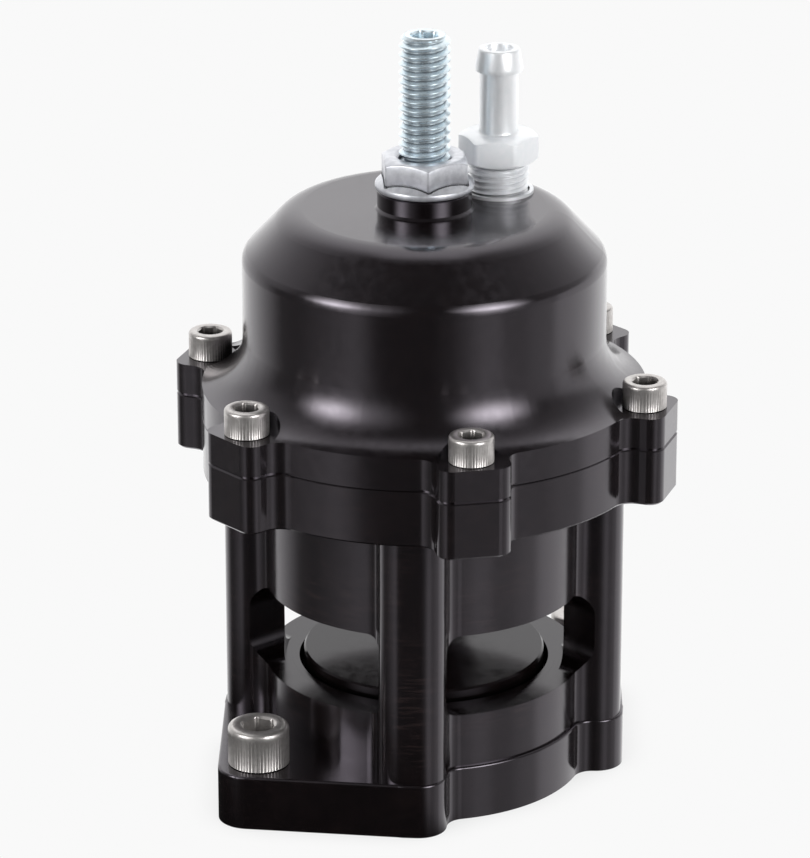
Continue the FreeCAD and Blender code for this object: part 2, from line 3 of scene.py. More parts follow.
import bmesh
import bpy
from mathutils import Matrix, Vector


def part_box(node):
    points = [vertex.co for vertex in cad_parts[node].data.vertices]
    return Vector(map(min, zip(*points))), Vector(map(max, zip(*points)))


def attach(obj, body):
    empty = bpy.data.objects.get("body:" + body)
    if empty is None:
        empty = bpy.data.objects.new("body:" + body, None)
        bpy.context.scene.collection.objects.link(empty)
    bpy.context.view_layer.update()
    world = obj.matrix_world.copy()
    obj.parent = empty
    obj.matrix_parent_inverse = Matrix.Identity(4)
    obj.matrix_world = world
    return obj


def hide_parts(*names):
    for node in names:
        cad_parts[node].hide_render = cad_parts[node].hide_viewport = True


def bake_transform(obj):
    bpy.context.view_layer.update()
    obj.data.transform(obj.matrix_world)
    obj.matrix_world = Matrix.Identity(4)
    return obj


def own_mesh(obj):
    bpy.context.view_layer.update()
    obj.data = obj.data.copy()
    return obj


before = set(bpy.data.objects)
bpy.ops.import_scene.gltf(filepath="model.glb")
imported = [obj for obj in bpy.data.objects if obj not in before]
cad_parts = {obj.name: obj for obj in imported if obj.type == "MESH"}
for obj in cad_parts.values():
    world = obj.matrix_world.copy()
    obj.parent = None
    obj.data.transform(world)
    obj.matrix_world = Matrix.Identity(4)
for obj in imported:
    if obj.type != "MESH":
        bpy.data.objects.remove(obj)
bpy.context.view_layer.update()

# Bypass valve with a lobed billet body, a bell cap, an adjuster stud with its lock nut, a barbed
# vacuum fitting and knurled socket screws. Lengths of shapes are in millimetres and turn into
# metres where a mesh is made; lengths inside materials are in metres. Angles of places are in
# degrees from the front (-Y) towards +X.
MM = 0.001
FULL = 2 * math.pi
SECTOR = FULL / 6
HEX_CHAMFER_SLOPE = math.tan(math.radians(30))

# Points of a mesh nearer than this many metres become one
WELD = 2e-7

# Standard parts
STUD_R = 3.97
STUD_PITCH = 25.4 / 18
STUD_CHAMFER = 0.8
STUD_SOCKET_AF = 3.97
STUD_SOCKET_DEPTH = 5.5
STUD_SOCKET_TURN = 20
NUT_AF = 12.7
NUT_TURN = 8.5
NUT_CORNER_R = 0.55
NUT_FLANGE_R = 7.65
NUT_FLANGE_EDGE = 1.1
NUT_FLANGE_SLOPE = 0.62
CAP_SCREW = {"head_r": 3.43, "head_h": 4.17, "shank_r": 2.08, "reach": 12.7, "socket_af": 3.57,
             "pitch": 25.4 / 32, "teeth": 48, "turn": 17, "turn_step": 41}
BASE_SCREW = {"head_r": 4.76, "head_h": 6.35, "shank_r": 3.17, "reach": 8.0, "socket_af": 4.76,
              "pitch": 25.4 / 20, "teeth": 54, "turn": 12, "turn_step": 25}
PIPE_PITCH = 25.4 / 27
PIPE_THREAD_R = 4.85
PIPE_LENGTH_PER_TAPER = 32
FITTING_BORE_R = 2.1
FITTING_TURN = 28.0
FITTING_AF = 11.11
FITTING_CORNER_R = 1.2
FITTING_HEX_RISE = 5.0
FITTING_HEX_HEIGHT = 4.6
TUBE_R = 3.0
BARB_R = 3.7
BARB_TIP_R = 3.24
BARB_LENGTH = 3.6

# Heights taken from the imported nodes
BOSS_HEIGHT = 3.05
BODY_FLANGE_THICK = 9.0
VALVE_RISE = 1.75
nut_low, nut_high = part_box("lock_nut")
stud_low, stud_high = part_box("adjuster_stud")
fitting_low, fitting_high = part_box("vacuum_fitting")
cap_low, cap_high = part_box("bell_cap")
dome_top_z = cap_high.z / MM - BOSS_HEIGHT
flange_low_z = cap_low.z / MM - BODY_FLANGE_THICK
ear_top_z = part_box("cap_screw_1")[1].z / MM - CAP_SCREW["head_h"]
base_top_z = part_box("base_screw_1")[1].z / MM - BASE_SCREW["head_h"]
window_floor_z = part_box("valve_disc")[1].z / MM - VALVE_RISE
fitting_hex_z = dome_top_z + FITTING_HEX_RISE


def node_centre(node):
    low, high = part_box(node)
    return ((low.x + high.x) / 2 / MM, (low.y + high.y) / 2 / MM)


def even_angles(count):
    return [FULL * index / count for index in range(count)]


def corner_half(apothem, rounding):
    """Half the angle that one rounded corner of a hexagon takes up."""
    return SECTOR / 2 - math.atan((apothem - rounding) * math.tan(SECTOR / 2) / apothem)


def hexagon_angles(corner_angle, arc_half, arc_steps, face_steps):
    """Angles round a hexagon, close together at its rounded corners."""
    angles = []
    for corner in range(6):
        middle = math.radians(corner_angle) - math.pi / 2 + SECTOR * corner
        for step in range(arc_steps):
            angles.append(middle - arc_half + 2 * arc_half * step / arc_steps)
        free = SECTOR - 2 * arc_half
        for step in range(face_steps):
            angles.append(middle + arc_half + free * step / face_steps)
    return angles


def hexagon_radius(angle, corner_angle, apothem, rounding):
    """Radius of a hexagon with rounded corners at a mathematical angle in the XY plane."""
    off = (angle - (math.radians(corner_angle) - math.pi / 2) + SECTOR / 2) % SECTOR - SECTOR / 2
    off = abs(off)
    if rounding > 0 and off < corner_half(apothem, rounding):
        centre = (apothem - rounding) / math.cos(SECTOR / 2)
        return centre * math.cos(off) + math.sqrt(rounding ** 2 - (centre * math.sin(off)) ** 2)
    return apothem / math.cos(SECTOR / 2 - off)


class Shape:
    """Points and faces in millimetres, gathered into one mesh."""

    def __init__(self, centre=(0.0, 0.0)):
        self.centre = centre
        self.points = []
        self.faces = []

    def point(self, radius, angle, z):
        """Adds one point by its radius, angle and height and gives its number."""
        self.points.append((self.centre[0] + radius * math.cos(angle),
                            self.centre[1] + radius * math.sin(angle), z))
        return len(self.points) - 1

    def ring(self, values, angles):
        """Adds one ring; values is a (radius, z) pair or gives one for an angle."""
        numbers = []
        for angle in angles:
            radius, z = values(angle) if callable(values) else values
            numbers.append(self.point(radius, angle, z))
        return numbers

    def join(self, low, high):
        """Faces between two closed rings."""
        self.strip(low + low[:1], high + high[:1])

    def strip(self, low, high):
        """Faces between two open rows."""
        for index in range(len(low) - 1):
            self.faces.append((low[index], low[index + 1], high[index + 1], high[index]))

    def fan(self, ring, z, upward):
        """Faces from a ring to a point at height z on the axis."""
        pole = self.point(0.0, 0.0, z)
        for first, second in zip(ring, ring[1:] + ring[:1]):
            self.faces.append((first, second, pole) if upward else (second, first, pole))

    def rings(self, outline, angles, closed=False):
        """Joins rings in order, each seen counterclockwise from outside."""
        made = [self.ring(values, angles) for values in outline]
        for low, high in zip(made, made[1:]):
            self.join(low, high)
        if closed:
            self.join(made[-1], made[0])
        return made

    def thread(self, radius_at, pitch, z_low, z_high, angles, profile):
        """Screw thread between two heights. profile is a list of (share of the pitch, drop)."""
        turns = int(math.ceil((z_high - z_low) / pitch)) + 2
        rows = []
        for turn in range(-1, turns):
            for share, drop in profile:
                row = []
                for angle in angles:
                    z = z_low + pitch * (turn + share + (angle - angles[0]) / FULL)
                    z = min(max(z, z_low), z_high)
                    row.append(self.point(radius_at(z, drop), angle, z))
                rows.append(row)
        step = len(profile)
        for index in range(len(rows) - step - 1):
            self.strip(rows[index] + rows[index + step][:1],
                       rows[index + 1] + rows[index + step + 1][:1])

    def build(self, name, body, material, sharp=35.0):
        """Makes the mesh and its object, and puts the object under its body when it has one."""
        mesh = bpy.data.meshes.new(name)
        mesh.from_pydata([(x * MM, y * MM, z * MM) for x, y, z in self.points], [], self.faces)
        work = bmesh.new()
        work.from_mesh(mesh)
        bmesh.ops.remove_doubles(work, verts=work.verts, dist=WELD)
        bmesh.ops.dissolve_degenerate(work, edges=work.edges, dist=WELD)
        bmesh.ops.recalc_face_normals(work, faces=work.faces)
        work.to_mesh(mesh)
        work.free()
        mesh.shade_smooth()
        mesh.set_sharp_from_angle(angle=math.radians(sharp))
        mesh.materials.append(material)
        piece = bpy.data.objects.new(name, mesh)
        bpy.context.scene.collection.objects.link(piece)
        if body:
            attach(piece, body)
        return piece


# Flats of a thread as shares of its pitch
THREAD_CREST = 0.13
THREAD_ROOT = 0.2


def vee_profile(pitch, steps=4):
    """(Share of the pitch, drop) points of a 60 degree thread with narrow flats, and its depth."""
    flank = 0.5 - THREAD_CREST / 2 - THREAD_ROOT / 2
    depth = pitch * flank * math.sqrt(3)
    points = [(0.0, 0.0), (THREAD_CREST / 2, 0.03 * depth)]
    for step in range(1, steps):
        share = step / steps
        points.append((THREAD_CREST / 2 + flank * share, depth * share))
    points.append((0.5 - THREAD_ROOT / 2, depth * 0.97))
    points.append((0.5, depth))
    reflected_shade = [(1 - share, drop) for share, drop in reversed(points[1:-1])]
    return points + reflected_shade, depth


# Materials

# How fast the lines left by tools wander sideways, per metre
GRAIN_DRIFT = 60.0


class Nodes:
    """Short way to build the node tree of a material, a light or the world."""

    def __init__(self, owner):
        owner.use_nodes = True
        self.tree = owner.node_tree
        self.tree.nodes.clear()

    def add(self, kind, **settings):
        node = self.tree.nodes.new(kind)
        for key, value in settings.items():
            setattr(node, key, value)
        return node

    def link(self, source, target):
        self.tree.links.new(source, target)

    def feed(self, node, inputs):
        for key, value in inputs.items():
            if isinstance(value, bpy.types.NodeSocket):
                self.link(value, node.inputs[key])
            elif value is not None:
                node.inputs[key].default_value = value
        return node

    def math(self, operation, first, second=None, third=None, clamp=False):
        """Number from one, two or three numbers."""
        node = self.add("ShaderNodeMath", operation=operation, use_clamp=clamp)
        self.feed(node, {0: first, 1: second, 2: third})
        return node.outputs[0]

    def product(self, first, *others):
        for other in others:
            first = self.math("MULTIPLY", first, other)
        return first

    def vector(self, operation, first, second=None):
        """Vector, or the number of a length or dot product, from one or two vectors."""
        node = self.add("ShaderNodeVectorMath", operation=operation)
        self.feed(node, {0: first, 1: second})
        return node.outputs["Value" if operation in ("LENGTH", "DOT_PRODUCT") else "Vector"]

    def split(self, vector):
        node = self.add("ShaderNodeSeparateXYZ")
        self.link(vector, node.inputs[0])
        return node.outputs

    def smooth(self, value, low, high, to_low=0.0, to_high=1.0):
        node = self.add("ShaderNodeMapRange", interpolation_type="SMOOTHSTEP")
        self.feed(node, {0: value, 1: low, 2: high, 3: to_low, 4: to_high})
        return node.outputs[0]

    def blend(self, factor, first, second):
        """Number between two numbers."""
        node = self.add("ShaderNodeMix", data_type="FLOAT")
        self.feed(node, {0: factor, 2: first, 3: second})
        return node.outputs[0]

    def mix(self, factor, first, second):
        """Colour between two colours."""
        node = self.add("ShaderNodeMix", data_type="RGBA")
        self.feed(node, {0: factor, 6: first, 7: second})
        return node.outputs[2]

    def ramp(self, value, stops):
        """Straight lines through (place from 0 to 1, level) pairs."""
        node = self.add("ShaderNodeValToRGB")
        parts = node.color_ramp.elements
        parts[0].position = stops[0][0]
        parts[-1].position = stops[-1][0]
        for place, level in stops[1:-1]:
            parts.new(place)
        for place, level in stops:
            near = min(parts, key=lambda part: abs(part.position - place))
            near.color = (level, level, level, 1)
        self.link(value, node.inputs[0])
        return node.outputs[0]

    def noise(self, vector, scale, detail):
        node = self.add("ShaderNodeTexNoise")
        self.feed(node, {"Vector": vector, "Scale": scale, "Detail": detail})
        return node.outputs["Fac"]

    def position(self):
        return self.add("ShaderNodeTexCoord").outputs["Object"]

    def face_normal(self):
        return self.add("ShaderNodeNewGeometry").outputs["True Normal"]

    def openness(self, reach):
        """1 in the open, less where other faces stand nearer than reach."""
        node = self.add("ShaderNodeAmbientOcclusion", samples=8)
        return self.feed(node, {"Distance": reach}).outputs["AO"]

    def glow(self, colour, strength=1.0):
        node = self.add("ShaderNodeEmission")
        return self.feed(node, {"Color": colour, "Strength": strength}).outputs[0]

    def shader_mix(self, factor, first, second):
        node = self.add("ShaderNodeMixShader")
        return self.feed(node, {0: factor, 1: first, 2: second}).outputs[0]

    def turned_grain(self, fine):
        """Lines left by a lathe or mill: rings on level faces and level lines on walls."""
        place = self.position()
        radius = self.vector("LENGTH", self.vector("MULTIPLY", place, (1.0, 1.0, 0.0)))
        along = self.math("ADD", self.split(place)[2], radius)
        line = self.add("ShaderNodeCombineXYZ")
        self.link(self.math("MULTIPLY", along, fine), line.inputs[2])
        drift = self.vector("MULTIPLY", place, (GRAIN_DRIFT, GRAIN_DRIFT, GRAIN_DRIFT))
        return self.noise(self.vector("ADD", line.outputs[0], drift), 1.0, 2.0)


# Top of the roughness steps in millimetres, above the whole part
STEPS_TOP = 130.0

# Values between which the masks of the surfaces fade in
UPRIGHT_FADE = (0.5, 0.1)
COLOUR_FADE = (0.35, 0.65)
ROUGHNESS_FADE = (0.3, 0.7)
PATCH_FADE = (0.42, 0.58)
STAIN_FADE = (0.50, 0.66)
EDGE_FADE = (0.84, 0.965)

# Specular level in the open, where no painted shade lowers it
OPEN_GLOSS = 0.5

# Share of the stains that is left below and above the trunk
STAINS_BELOW = 0.25
STAINS_ABOVE = 0.35


def stained(nodes, paint, place, upright, streaks):
    """Paint with short level stains in patches on upright faces, mostly between two heights."""
    low, high = streaks["heights"]
    soft = 1.0
    height = nodes.split(place)[2]
    marks = nodes.noise(nodes.vector("MULTIPLY", place, streaks["scale"]), 1.0, 3.0)
    patches = nodes.smooth(nodes.noise(place, streaks["patches"], 1.0), *PATCH_FADE)
    above = nodes.smooth(height, (low - soft) * MM, (low + soft) * MM, STAINS_BELOW, 1.0)
    below = nodes.smooth(height, (high - soft) * MM, (high + soft) * MM, 1.0, STAINS_ABOVE)
    stain = nodes.product(nodes.smooth(marks, *STAIN_FADE), patches, upright, above, below)
    return nodes.mix(stain, paint, streaks["colour"])


def gloss_shaded(nodes, gloss, place, upright, gloss_shade):
    """Painted shade: gloss lowered on level faces between two heights."""
    soft = 0.3
    height = nodes.split(place)[2]
    above = nodes.smooth(height, (gloss_shade["low"] - soft) * MM, gloss_shade["low"] * MM)
    below = nodes.smooth(height, gloss_shade["high"] * MM, (gloss_shade["high"] + soft) * MM, 1.0, 0.0)
    share = nodes.product(above, below, nodes.math("SUBTRACT", 1.0, upright))
    return nodes.math("MULTIPLY", gloss, nodes.smooth(share, 0.0, 1.0, 1.0, gloss_shade["gloss"]))


def edge_shaded(nodes, paint, outline):
    """Paint darkened along sharp edges, where a rounded normal leaves the face's own: a painted
    dark line of shade and reflection.
    """
    rounded = nodes.feed(nodes.add("ShaderNodeBevel", samples=16), {"Radius": outline["reach"]})
    alike = nodes.vector("DOT_PRODUCT", rounded.outputs[0], nodes.face_normal())
    return nodes.mix(nodes.smooth(alike, *EDGE_FADE), outline["colour"], paint)


def stepped(nodes, rough, place, steps, share):
    """Roughness with more on top by height; steps is a list of (height, amount) pairs."""
    level = nodes.math("MULTIPLY", nodes.split(place)[2], 1 / (STEPS_TOP * MM))
    extra = nodes.ramp(level, [(height / STEPS_TOP, amount) for height, amount in steps])
    return nodes.math("MULTIPLY_ADD", extra, share, rough)


def surface(name, inputs, colour, roughness, grain=None, bump=None, aniso=None, walls=None,
            bands=None, streaks=None, cavity_shade=None, outline=None, gloss_shade=None):
    """Material with one glossy surface shader whose colour and roughness vary over the surface.

    grain is relief left by tools and bump is uneven relief. walls adds roughness on upright
    faces by height and bands on all faces, and streaks are short level stains on upright faces.
    The last three options paint shade: the first darkens the colour and gloss of narrow gaps,
    roots and sockets, the second paints a dark line of shade and reflection along sharp edges,
    and the third lowers the gloss of level faces between two heights.
    """
    material = bpy.data.materials.new(name)
    nodes = Nodes(material)
    shader = nodes.add("ShaderNodeBsdfPrincipled")
    output = nodes.add("ShaderNodeOutputMaterial")
    nodes.link(shader.outputs[0], output.inputs[0])
    nodes.feed(shader, inputs)
    place = nodes.position()
    facing_up = nodes.math("ABSOLUTE", nodes.split(nodes.face_normal())[2])
    upright = nodes.smooth(facing_up, *UPRIGHT_FADE)

    relief = grain or bump
    lines = nodes.turned_grain(grain["fine"]) if grain else nodes.noise(place, bump["scale"], 3.0)
    normal = nodes.feed(nodes.add("ShaderNodeBump"), {
        "Height": lines, "Strength": relief["strength"], "Distance": relief["depth"]})
    nodes.link(normal.outputs[0], shader.inputs["Normal"])

    spread = nodes.smooth(nodes.noise(place, colour["scale"], 4.0), *COLOUR_FADE)
    paint = nodes.mix(spread, colour["first"], colour["second"])
    if streaks:
        paint = stained(nodes, paint, place, upright, streaks)
    # Painted shade: colour and gloss darkened in narrow gaps, roots and sockets
    if cavity_shade:
        open_share = nodes.smooth(nodes.openness(cavity_shade["reach"]), cavity_shade["low"], cavity_shade["high"])
        paint = nodes.mix(open_share, cavity_shade["colour"], paint)
        gloss = nodes.math("MULTIPLY", open_share, OPEN_GLOSS)
        # Painted shade on level faces between two heights, by lowering their gloss
        if gloss_shade:
            gloss = gloss_shaded(nodes, gloss, place, upright, gloss_shade)
        nodes.link(gloss, shader.inputs["Specular IOR Level"])
    # Painted dark line of shade and reflection along sharp edges
    if outline:
        paint = edge_shaded(nodes, paint, outline)
    nodes.link(paint, shader.inputs["Base Color"])

    rough = nodes.smooth(nodes.noise(place, roughness["scale"], 3.0), *ROUGHNESS_FADE,
                         roughness["low"], roughness["high"])
    if walls:
        rough = stepped(nodes, rough, place, walls, upright)
    if bands:
        rough = stepped(nodes, rough, place, bands, 1.0)
    nodes.link(rough, shader.inputs["Roughness"])
    if aniso:
        tangent = nodes.add("ShaderNodeTangent", direction_type="RADIAL", axis="Z")
        nodes.link(tangent.outputs[0], shader.inputs["Tangent"])
        nodes.feed(shader, {"Anisotropic": aniso, "Anisotropic Rotation": 0.25})
    return material


ANODISED = {"Metallic": 0.0, "Specular Tint": (1.0, 0.92, 1.03, 1.0)}
# Colour of the painted shade in narrow gaps and recesses of the black parts
PAINTED_GAP_SHADE = (0.001, 0.001, 0.001, 1)
cap_black = surface(
    "cap_black", {**ANODISED, "IOR": 1.8},
    colour={"scale": 400.0, "first": (0.0030, 0.0020, 0.0021, 1),
            "second": (0.0042, 0.0027, 0.0028, 1)},
    roughness={"scale": 700.0, "low": 0.13, "high": 0.18},
    walls=[(ear_top_z + 0.1, 0.04), (ear_top_z + 0.3, 0.0)],
    bands=[(ear_top_z + 0.1, 0.0), (ear_top_z + 0.9, 0.07), (ear_top_z + 6.4, 0.07),
           (ear_top_z + 11.4, 0.03), (ear_top_z + 16.4, 0.0)],
    grain={"fine": 7000.0, "strength": 0.10, "depth": 0.00002}, aniso=0.8)
body_black = surface(
    "body_black", {**ANODISED, "IOR": 1.8},
    colour={"scale": 300.0, "first": (0.0028, 0.0018, 0.0018, 1),
            "second": (0.0042, 0.0026, 0.0026, 1)},
    roughness={"scale": 500.0, "low": 0.13, "high": 0.17},
    walls=[(base_top_z + 0.25, 0.0), (base_top_z + 1.25, 0.04), (flange_low_z + 0.5, 0.04),
           (flange_low_z + 1.5, 0.02)],
    grain={"fine": 4500.0, "strength": 0.12, "depth": 0.00003}, aniso=0.8,
    streaks={"scale": (230.0, 230.0, 2600.0), "patches": 110.0,
             "heights": (base_top_z + 3.25, flange_low_z - 0.5),
             "colour": (0.012, 0.0075, 0.0070, 1)},
    # Painted shade on the window floor: lower gloss on level faces at its height
    gloss_shade={"low": window_floor_z - 0.45, "high": window_floor_z + 0.25, "gloss": 0.38},
    # Painted shade in narrow gaps and recesses
    cavity_shade={"reach": 0.0025, "low": 0.18, "high": 0.45, "colour": PAINTED_GAP_SHADE})
disc_black = surface(
    "disc_black", {**ANODISED, "IOR": 1.33},
    colour={"scale": 500.0, "first": (0.0034, 0.0022, 0.0022, 1),
            "second": (0.0052, 0.0031, 0.0031, 1)},
    roughness={"scale": 600.0, "low": 0.14, "high": 0.20},
    grain={"fine": 6000.0, "strength": 0.12, "depth": 0.00002}, aniso=0.8,
    # Painted shade in narrow gaps and recesses
    cavity_shade={"reach": 0.0025, "low": 0.42, "high": 0.85, "colour": PAINTED_GAP_SHADE})
stainless = surface(
    "stainless", {"Metallic": 0.85},
    colour={"scale": 1500.0, "first": (0.52, 0.495, 0.48, 1), "second": (0.60, 0.575, 0.56, 1)},
    roughness={"scale": 1800.0, "low": 0.30, "high": 0.35},
    bump={"scale": 5000.0, "strength": 0.06, "depth": 0.00001},
    # Painted shade in sockets, thread roots and other narrow gaps
    cavity_shade={"reach": 0.0035, "low": 0.32, "high": 0.62, "colour": (0.020, 0.018, 0.017, 1)})
zinc_bright = surface(
    "zinc_bright", {"Metallic": 0.80},
    colour={"scale": 1200.0, "first": (0.76, 0.87, 0.94, 1), "second": (0.84, 0.94, 0.99, 1)},
    roughness={"scale": 1500.0, "low": 0.20, "high": 0.26},
    bump={"scale": 3000.0, "strength": 0.10, "depth": 0.00001},
    # Painted shade in the thread roots and the socket
    cavity_shade={"reach": 0.0010, "low": 0.38, "high": 0.70, "colour": (0.03, 0.045, 0.07, 1)})
nut_satin = surface(
    "nut_satin", {"Metallic": 0.75},
    colour={"scale": 900.0, "first": (0.62, 0.63, 0.67, 1), "second": (0.74, 0.75, 0.79, 1)},
    roughness={"scale": 1500.0, "low": 0.30, "high": 0.36},
    walls=[(0.0, 0.10), (STEPS_TOP, 0.10)],
    bump={"scale": 5000.0, "strength": 0.05, "depth": 0.00002},
    # Painted dark line of shade and reflection along the sharp edges of the nut
    outline={"reach": 0.00032, "colour": (0.03, 0.03, 0.034, 1)},
    # Painted shade in the groove under the hexagon and the bore
    cavity_shade={"reach": 0.0004, "low": 0.20, "high": 0.55, "colour": (0.020, 0.020, 0.022, 1)})
hex_band_low = fitting_hex_z - 0.7
hex_band_high = fitting_hex_z + FITTING_HEX_HEIGHT + 0.5
fitting_satin = surface(
    "fitting_satin", {"Metallic": 0.50},
    colour={"scale": 900.0, "first": (0.92, 0.94, 0.96, 1), "second": (0.95, 0.96, 0.98, 1)},
    roughness={"scale": 1500.0, "low": 0.31, "high": 0.36},
    walls=[(hex_band_low, 0.12), (hex_band_low + 0.3, 0.30), (hex_band_high - 0.3, 0.30),
           (hex_band_high, 0.0)],
    bump={"scale": 5000.0, "strength": 0.05, "depth": 0.00002},
    # Painted shade in thread roots and other narrow gaps
    cavity_shade={"reach": 0.0010, "low": 0.20, "high": 0.60, "colour": (0.40, 0.40, 0.42, 1)})
plain_aluminium = surface(
    "plain_aluminium", {"Metallic": 1.0},
    colour={"scale": 900.0, "first": (0.70, 0.71, 0.72, 1), "second": (0.78, 0.79, 0.80, 1)},
    roughness={"scale": 1500.0, "low": 0.28, "high": 0.36},
    grain={"fine": 5000.0, "strength": 0.2, "depth": 0.00002})
spring_steel = surface(
    "spring_steel", {"Metallic": 1.0},
    colour={"scale": 900.0, "first": (0.38, 0.38, 0.39, 1), "second": (0.46, 0.46, 0.47, 1)},
    roughness={"scale": 1500.0, "low": 0.28, "high": 0.36},
    bump={"scale": 3000.0, "strength": 0.2, "depth": 0.00002})
bush_bronze = surface(
    "bush_bronze", {"Metallic": 1.0},
    colour={"scale": 900.0, "first": (0.55, 0.36, 0.18, 1), "second": (0.64, 0.43, 0.23, 1)},
    roughness={"scale": 1500.0, "low": 0.28, "high": 0.36},
    grain={"fine": 5000.0, "strength": 0.2, "depth": 0.00002})
rubber = surface(
    "rubber", {"Metallic": 0.0, "IOR": 1.5},
    colour={"scale": 900.0, "first": (0.014, 0.014, 0.014, 1),
            "second": (0.022, 0.022, 0.022, 1)},
    roughness={"scale": 1500.0, "low": 0.55, "high": 0.7},
    bump={"scale": 6000.0, "strength": 0.3, "depth": 0.00003})

node_finish = {
    "lower_body": body_black, "bell_cap": cap_black, "valve_disc": disc_black,
    "base_ring_seal": rubber, "stem_seal": rubber, "face_seal": rubber, "diaphragm": rubber,
    "stem_bush": bush_bronze, "lower_plate": plain_aluminium, "upper_plate": plain_aluminium,
    "main_spring": spring_steel, "spring_seat": plain_aluminium, "port_ring": fitting_satin,
    "adjuster_stud": zinc_bright, "lock_nut": nut_satin, "vacuum_fitting": fitting_satin,
}
for name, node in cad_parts.items():
    finish = node_finish.get(name, stainless)
    if not node.data.materials:
        node.data.materials.append(finish)
    for slot in node.material_slots:
        slot.material = finish

# Screws, nut and fitting

# Shares of a socket screw's head radius, and of its head height for the socket's depth
CROWN_SHARE = 0.16
FOOT_SHARE = 0.015
KNURL_SHARE = 0.016
SOCKET_SHARE = 0.5
CROWN_STEPS = 4
POINTS_PER_TOOTH = 4
SHANK_STEPS = 48


def socket_rings(shape, angles, corner_angle, apothem, top, depth, flat_r):
    """Hexagon socket with a turned countersink and a drilled cone, down from the top face."""
    def wall(z):
        return lambda angle: (hexagon_radius(angle, corner_angle, apothem, 0.0), z)

    corner = apothem / math.cos(SECTOR / 2)
    countersink = 0.12
    cone = apothem * 0.55
    made = shape.rings([(flat_r, top), (corner + countersink, top),
                        (corner + 0.02, top - countersink / 2),
                        wall(top - countersink * 2.5), wall(top - depth)], angles)
    shape.fan(made[-1], top - depth - cone, True)


def make_socket_screw(node, size, turn, seat_z):
    """Socket-head screw with a knurled head, a countersunk hexagon and a threaded shank."""
    shape = Shape(node_centre(node))
    angles = even_angles(size["teeth"] * POINTS_PER_TOOTH)
    top = seat_z + size["head_h"]
    head_r = size["head_r"]
    crown = head_r * CROWN_SHARE
    foot = head_r * FOOT_SHARE
    knurl = head_r * KNURL_SHARE

    def side(z):
        return lambda angle: (head_r - knurl * (0.5 + 0.5 * math.cos(size["teeth"] * angle)), z)

    outline = [(size["shank_r"], seat_z)]
    for inset, rise in [(1.6, 0.0), (0.8, 0.3), (0.2, 1.0), (0.0, 1.9)]:
        outline.append((head_r - foot * inset, seat_z + foot * rise))
    outline += [side(seat_z + foot * 2.3), side(top - crown * 1.9), (head_r, top - crown * 1.55)]
    for step in range(CROWN_STEPS + 1):
        lean = math.pi / 2 * step / CROWN_STEPS
        outline.append((head_r - crown * (1 - math.cos(lean)), top - crown * (1 - math.sin(lean))))
    flat_r = head_r - crown * 1.05
    outline.append((flat_r, top))
    shape.rings(outline, angles)
    socket_rings(shape, angles, turn, size["socket_af"] / 2, top, size["head_h"] * SOCKET_SHARE,
                 flat_r)

    shank_angles = even_angles(SHANK_STEPS)
    tip = seat_z - size["reach"]
    profile, depth = vee_profile(size["pitch"], steps=2)
    end_r = size["shank_r"] - depth - 0.05

    def radius_at(z, drop):
        return min(size["shank_r"] - drop, end_r + (z - tip))

    shape.thread(radius_at, size["pitch"], tip, seat_z, shank_angles, profile)
    shape.fan(shape.ring((end_r, tip), shank_angles), tip, False)
    piece = shape.build(node + "_detail", "housing", stainless)
    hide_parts(node)


def make_adjuster_stud():
    """Threaded stud with turned ends and a hexagon socket in its top."""
    shape = Shape()
    angles = even_angles(96)
    low = stud_low.z / MM
    high = stud_high.z / MM
    profile = vee_profile(STUD_PITCH)[0]
    end_r = STUD_R - STUD_CHAMFER

    def radius_at(z, drop):
        return min(STUD_R - drop, end_r + (z - low), end_r + (high - z))

    shape.thread(radius_at, STUD_PITCH, low, high, angles, profile)
    socket_rings(shape, angles, STUD_SOCKET_TURN, STUD_SOCKET_AF / 2, high, STUD_SOCKET_DEPTH,
                 end_r)
    shape.fan(shape.ring((end_r, low), angles), low, False)
    piece = shape.build("adjuster_stud_threaded", "adjuster", zinc_bright)
    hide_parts("adjuster_stud")


def make_lock_nut():
    """Flanged nut with rounded corners and a groove under the hexagon."""
    shape = Shape()
    apothem = NUT_AF / 2
    angles = hexagon_angles(NUT_TURN, corner_half(apothem, NUT_CORNER_R), 8, 14)
    low = nut_low.z / MM
    high = nut_high.z / MM
    flat_r = apothem * 0.955
    bore = STUD_R + 0.05

    def wall(inset, rise):
        """Ring beside the hexagon, at a height above the sloped top of the flange."""
        def place(angle):
            radius = hexagon_radius(angle, NUT_TURN, apothem, NUT_CORNER_R)
            flange_z = low + NUT_FLANGE_EDGE + (NUT_FLANGE_R - radius) * NUT_FLANGE_SLOPE
            return radius - inset, flange_z + rise
        return place

    def crown(inset, lower):
        """Ring on the turned chamfer of the hexagon's corners."""
        def place(angle):
            radius = hexagon_radius(angle, NUT_TURN, apothem, NUT_CORNER_R)
            return radius - inset, high - max(radius - flat_r, 0.0) * HEX_CHAMFER_SLOPE - lower
        return place

    # Rounded rim of the flange, groove and lower edge of the hexagon, crown and bore
    rim = [(0.5, 0.0), (0.15, 0.12), (0.0, 0.35), (0.0, 0.85), (0.06, 1.03), (0.2, 1.16)]
    outline = [(bore, low)]
    outline += [(NUT_FLANGE_R - inset, low + rise) for inset, rise in rim]
    outline += [wall(-0.14, 0.02), wall(-0.06, -0.06), wall(0.30, -0.10), wall(0.30, 0.16),
                wall(0.06, 0.20), wall(0.0, 0.30), crown(0.0, 0.16), crown(0.04, 0.05),
                crown(0.14, -0.02), (flat_r, high - 0.02), (flat_r - 0.15, high)]
    outline += [(bore + 0.75, high), (bore + 0.6, high - 0.05), (bore, high - 0.55)]
    shape.rings(outline, angles, closed=True)
    piece = shape.build("lock_nut_flanged", "housing", nut_satin, sharp=40.0)
    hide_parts("lock_nut")


